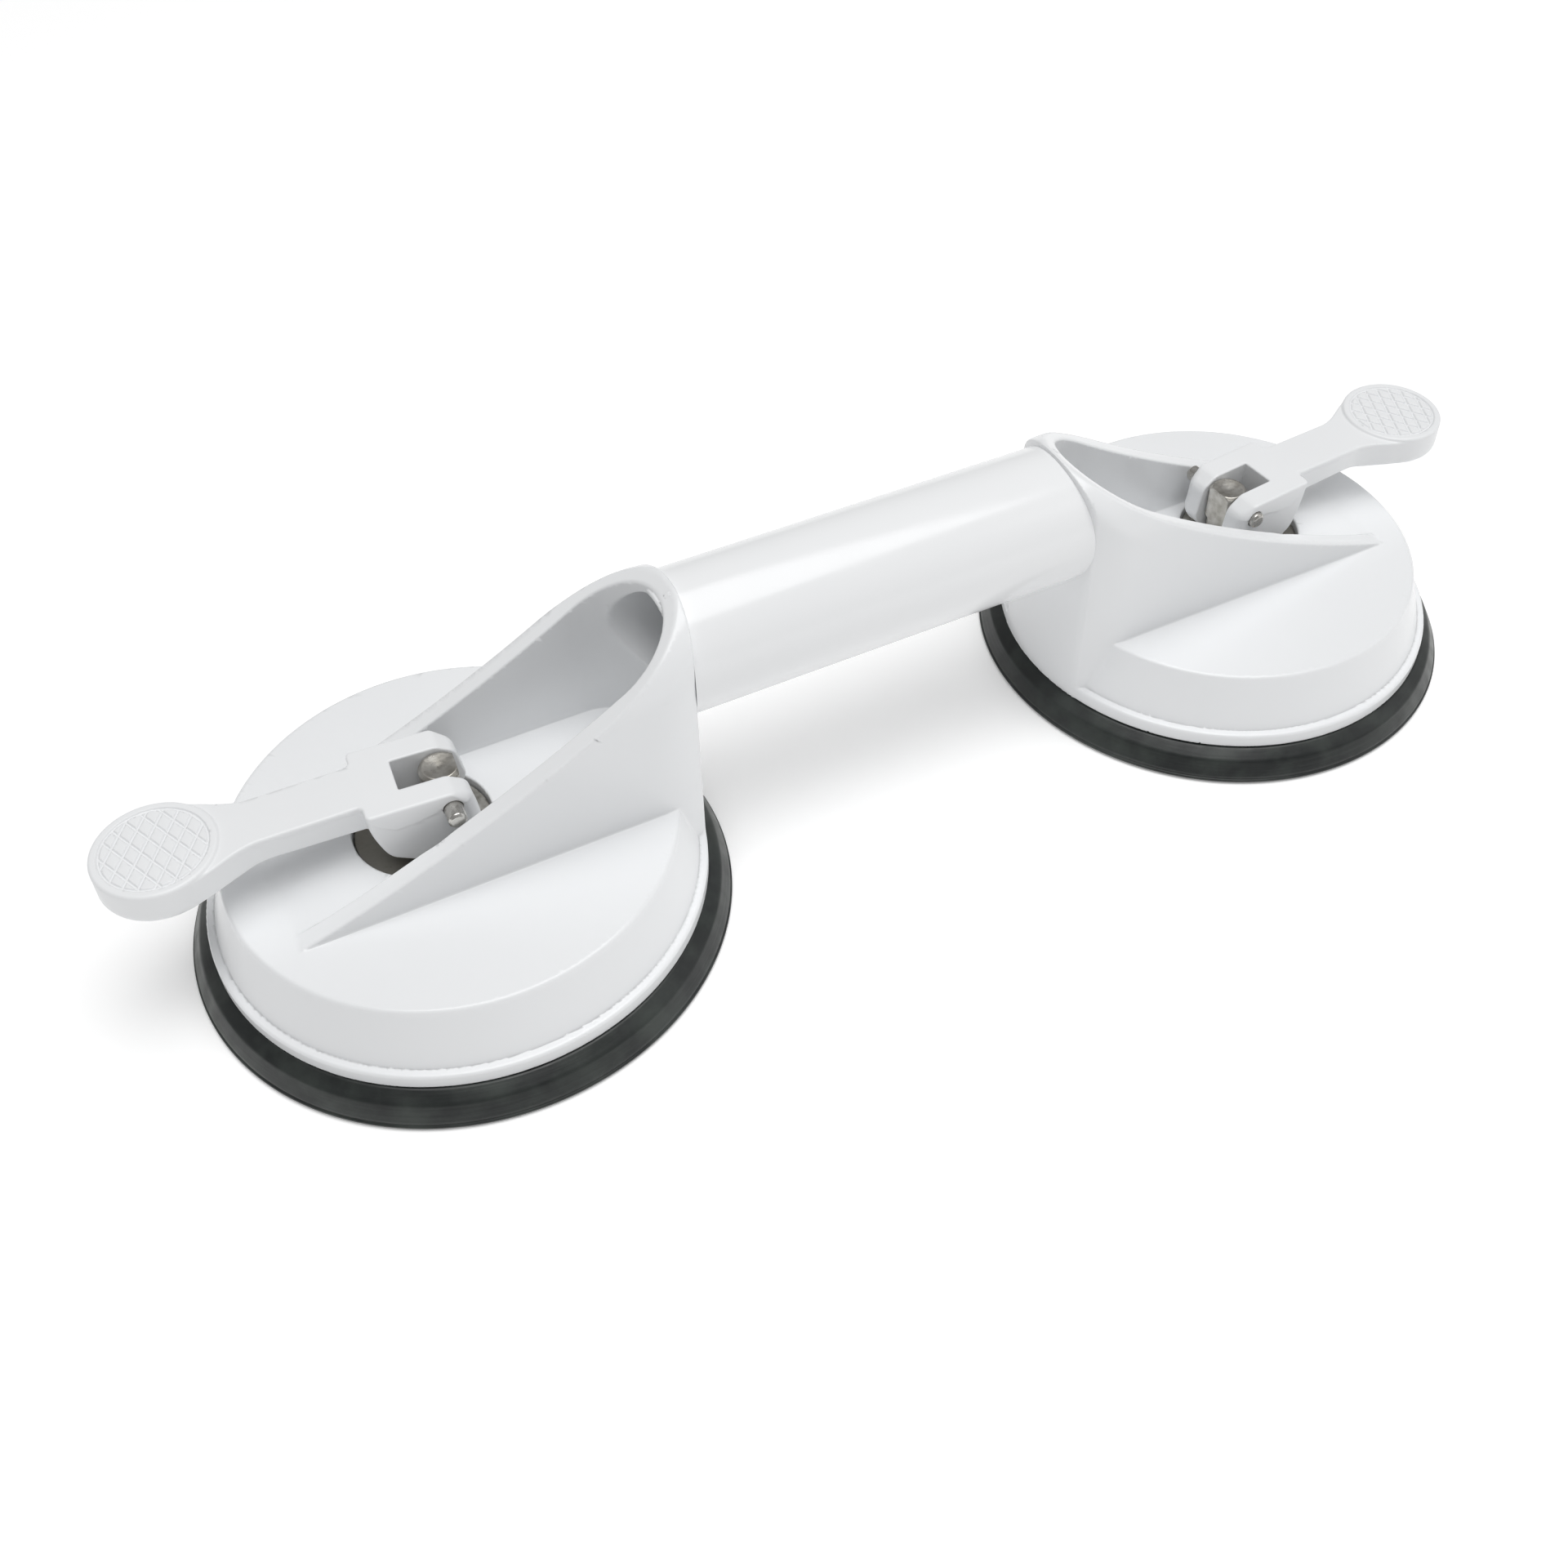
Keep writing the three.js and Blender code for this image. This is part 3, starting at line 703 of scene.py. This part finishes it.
def steel(name, colour, stain, rough, marks, stretch=None, patch=(0.35, 0.75), painted_shade_outside=False):
    """Steel with stains, tool marks and uneven polish. A flag paints shade on its outer side, where the
    lever shades the wear washer.
    """
    nodes = Nodes(name)
    blotch = nodes.ramp(nodes.noise(320, 5), 0, 1, patch)
    # painted shade: the stain colour is spread over the wear washer's outer side, where the lever's shade
    # falls on it
    if painted_shade_outside:
        blotch = nodes.outward(blotch, 0.098, 0.103)
    nodes.link(nodes.blend(blotch, colour, stain), nodes.shader.inputs["Base Color"])
    nodes.link(nodes.ramp(nodes.noise(900, 5, stretch), *rough), nodes.shader.inputs["Roughness"])
    scratches = nodes.bump(nodes.noise(1600, 6, stretch), marks, 0.00004)
    nodes.link(scratches, nodes.shader.inputs["Normal"])
    nodes.set(Metallic=1.0)
    return nodes.material


WHITE = moulded_plastic("white_plastic", (0.872, 0.883, 0.894), (0.86, 0.871, 0.883), (0.2, 0.26))
TUBE = moulded_plastic("white_tube", (0.9, 0.908, 0.916), (0.89, 0.9, 0.91), (0.16, 0.22))
LEVER = moulded_plastic("lever_plastic", (0.87, 0.88, 0.89), (0.855, 0.865, 0.876), (0.28, 0.4))
RUBBER = rubber("black_rubber")
# the wear washer's steel is painted darker on its outer side, as painted shade under the lever
WASHER_STEEL_PAINTED_SHADE = steel("washer_steel_painted_shade", (0.56, 0.55, 0.52), (0.2, 0.19, 0.165), (0.3, 0.5), 0.3, painted_shade_outside=True)
STUD_STEEL = steel("stud_steel", (0.62, 0.605, 0.57), (0.32, 0.3, 0.26), (0.26, 0.42), 0.3, (1, 1, 6))
PIN_STEEL = steel("pin_steel", (0.66, 0.65, 0.62), (0.45, 0.43, 0.4), (0.18, 0.32), 0.2)
SPRING_STEEL = steel("spring_steel", (0.5, 0.5, 0.49), (0.36, 0.36, 0.36), (0.25, 0.4), 0.2)
PLATE_STEEL = steel("plate_steel", (0.55, 0.54, 0.52), (0.4, 0.39, 0.36), (0.3, 0.5), 0.25)


# ---------------------------------------------------------------- pieces


def piece(name, mesh, material, matrix, body, node):
    """One visible piece, put in its place in metres, that rides its body in the node's stead."""
    thing = bpy.data.objects.new(name, mesh.copy())
    bpy.context.scene.collection.objects.link(thing)
    thing.data.materials.clear()
    thing.data.materials.append(material)
    thing.data.transform(matrix)
    if body:
        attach(thing, body)
    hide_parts(node)
    return thing


LOW_HOUSING, HIGH_HOUSING = (-55.2, -55.2, 6.6), (74.2, 55.2, 73.4)
housing_mesh = field_mesh("housing", housing_field, LOW_HOUSING, HIGH_HOUSING, 0.4)
lever_mesh = field_mesh("lever", lever_field, (-71, -13.4, -14), (7.4, 13.4, 5.2), 0.2)
stud_mesh = field_mesh("stud", stud_field, (-5, -4.3, 6.4), (4.3, 4.3, 43.6), 0.14)
washer_mesh = field_mesh("wear_washer", wear_washer_field, (-21, -15.2, 24.8), (9.4, 15.2, 27.2), 0.15)
nut_mesh = field_mesh("lock_nut", lock_nut_field, (-8, -8, 9.2), (8, 8, 14.2), 0.16)
cup_mesh = turned_mesh("suction_cup", cup_outline(), 256)
plate_outline = ring_outline(STUD_RADIUS + 0.3, PLATE_RADIUS, PLATE_BOTTOM, PLATE_TOP, 0.5)
plate_mesh = turned_mesh("insert_plate", plate_outline)
spring_washer_outline = ring_outline(STUD_RADIUS + 0.8, SPRING_WASHER_RADIUS, SPRING_WASHER_BOTTOM,
                                     SPRING_WASHER_TOP, 0.15)
spring_washer_mesh = turned_mesh("spring_washer", spring_washer_outline)


def build_head(side):
    """All the pieces of one head. They follow the frame's own places for cup, hinge and spring."""
    fixed, turning = head_matrices(side)
    raised = turning @ Matrix.Translation((0, 0, PIN_HEIGHT * MM))
    cup, swivel = f"{side}_cup", f"{side}_swivel"
    piece(f"{side}_cover", housing_mesh, WHITE, fixed, "frame", f"{side}_housing")
    piece(f"{side}_cam_lever", lever_mesh, LEVER, raised, f"{side}_lever", f"{side}_lever")
    piece(f"{side}_cam_washer", washer_mesh, WASHER_STEEL_PAINTED_SHADE, fixed, "frame", f"{side}_wear_washer")
    piece(f"{side}_rubber_cup", cup_mesh, RUBBER, turning, cup, f"{side}_suction_cup")
    piece(f"{side}_steel_plate", plate_mesh, PLATE_STEEL, turning, cup, f"{side}_insert_plate")
    piece(f"{side}_steel_stud", stud_mesh, STUD_STEEL, turning, cup, f"{side}_stud")
    piece(f"{side}_hex_nut", nut_mesh, PIN_STEEL, turning, cup, f"{side}_lock_nut")
    piece(f"{side}_thin_washer", spring_washer_mesh, PLATE_STEEL, turning, swivel,
          f"{side}_spring_washer")
    pin = centre(f"{side}_cross_pin")
    shift = (turning.inverted() @ pin).y
    pin_place = turning @ Matrix.Translation((0, shift, pin.z))
    pin_mesh = turned_mesh("pin", pin_outline(), 64, "Y")
    piece(f"{side}_steel_pin", pin_mesh, PIN_STEEL, pin_place, cup, f"{side}_cross_pin")
    low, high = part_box(f"{side}_spring")
    wound = spring_mesh("spring", low.z / MM, high.z / MM)
    coil = piece(f"{side}_coil_spring", wound, SPRING_STEEL, turning, None, f"{side}_spring")
    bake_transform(coil)


for side in ("left", "right"):
    build_head(side)


def tube_mesh():
    """The hand grip, whose ends are hollowed to fit the round backs of the hoods."""
    reach = centre("right_suction_cup").x / MM
    outline = ring_outline(GRIP_BORE, GRIP_RADIUS, -GRIP_HALF_LENGTH, GRIP_HALF_LENGTH, 0.08)
    mesh = turned_mesh("tube", outline, 160, "X")
    for vertex in mesh.vertices:
        x, y = vertex.co.x / MM, vertex.co.y / MM
        back = reach - math.sqrt((RIM_RADIUS + 0.005) ** 2 - y**2)
        vertex.co.x = math.copysign(back - GRIP_HALF_LENGTH + abs(x), x) * MM
    return mesh


piece("hand_grip", tube_mesh(), TUBE, Matrix.Translation((0, 0, GRIP_HEIGHT * MM)), "frame", "grab_tube")

# ---------------------------------------------------------------- floor, light and camera


def floor():
    """A plain white floor that glows a little, as a light table does."""
    bpy.ops.mesh.primitive_plane_add(size=20, location=(0, 0, -0.0002))
    plane = bpy.context.object
    plane.name = "floor"
    nodes = Nodes("floor_paint")
    cloud = nodes.ramp(nodes.noise(3, 2), 0, 1)
    nodes.link(nodes.blend(cloud, (0.97, 0.97, 0.97), (0.96, 0.96, 0.96)), nodes.shader.inputs["Base Color"])
    nodes.set(Roughness=0.6, Emission_Strength=0.2)
    nodes.shader.inputs["Emission Color"].default_value = (1, 1, 1, 1)
    plane.data.materials.append(nodes.material)


def soft_light(name, place, size, power, aim=(0, 0, 0.03)):
    """A large area light that faces the object."""
    data = bpy.data.lights.new(name, "AREA")
    data.shape = "RECTANGLE"
    data.size, data.size_y = size
    data.energy = power
    lamp = bpy.data.objects.new(name, data)
    bpy.context.scene.collection.objects.link(lamp)
    lamp.location = place
    lamp.rotation_euler = (Vector(aim) - Vector(place)).to_track_quat("-Z", "Y").to_euler()


def studio():
    """Soft light from overhead, a little from the right, and an even grey all round."""
    world = bpy.data.worlds.new("studio")
    bpy.context.scene.world = world
    world.use_nodes = True
    world.node_tree.nodes["Background"].inputs["Color"].default_value = (1, 1, 1, 1)
    world.node_tree.nodes["Background"].inputs["Strength"].default_value = 0.3
    soft_light("overhead", (0.15, -0.25, 2.6), (2.2, 2.0), 50)
    soft_light("right_front", (1.0, -0.5, 0.6), (0.8, 0.8), 1.2)


def camera():
    """The photo's camera, from a fit to the two round covers."""
    data = bpy.data.cameras.new("camera")
    data.sensor_width = 36
    data.lens = 40.32
    data.shift_x = -0.0365
    data.shift_y = -0.0938
    data.clip_start = 0.01
    thing = bpy.data.objects.new("camera", data)
    bpy.context.scene.collection.objects.link(thing)
    thing.location = (-0.14421, -0.25679, 0.31114)
    thing.rotation_euler = [math.radians(a) for a in (46.937, -0.412, -27.733)]
    bpy.context.scene.camera = thing


floor()
studio()
camera()
bpy.context.scene.view_settings.view_transform = "Standard"
